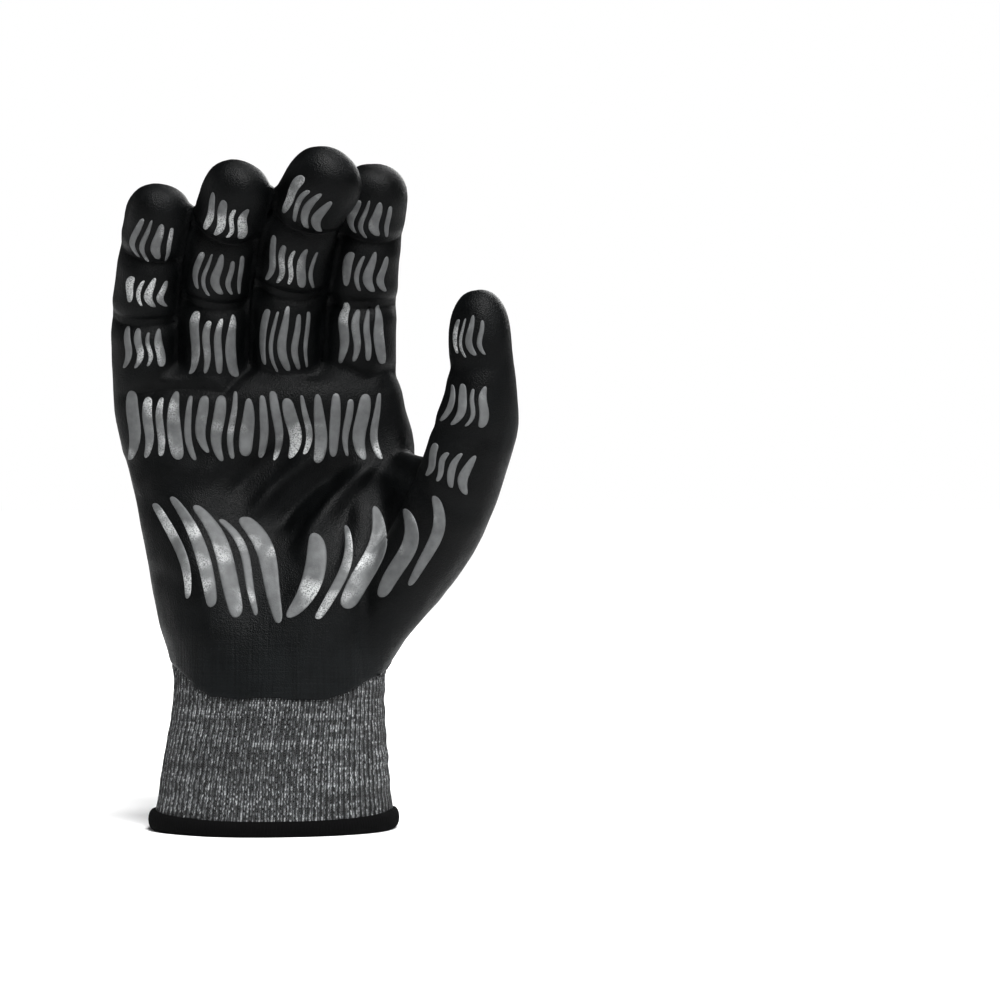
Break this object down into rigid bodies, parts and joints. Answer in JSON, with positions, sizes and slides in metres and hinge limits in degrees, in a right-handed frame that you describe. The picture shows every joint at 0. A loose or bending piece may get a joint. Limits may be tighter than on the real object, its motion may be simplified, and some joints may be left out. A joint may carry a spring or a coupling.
{
  "type": "protective glove",
  "caption": "Right-hand knitted work glove with a dipped foam palm, raised grip print, ribbed cuff and bound hem, in its worn form.",
  "frame": {"origin": "centre of the wrist opening, on the lower edge of the hem", "axes": "+Z along the hand to the fingertips, -Y out of the palm, +Y out of the back of the hand, +X to the thumb side"},
  "size_m": [0.1483, 0.0745, 0.2484],
  "materials": {
    "hand_knit": "mid grey melange plain knit, matt",
    "rib_knit": "charcoal and white melange rib knit, matt",
    "foam_coating": "black nitrile foam, matt with a soft sheen and fine grain",
    "hem_yarn": "black overlocked yarn, matt",
    "grip_print": "grey raised print with worn metallic flecks"
  },
  "bodies": {
    "root": {"hand_knit": "hand_knit", "wrist_cuff": "rib_knit", "palm_coating": "foam_coating", "hem_binding": "hem_yarn"}
  },
  "joints": []
}
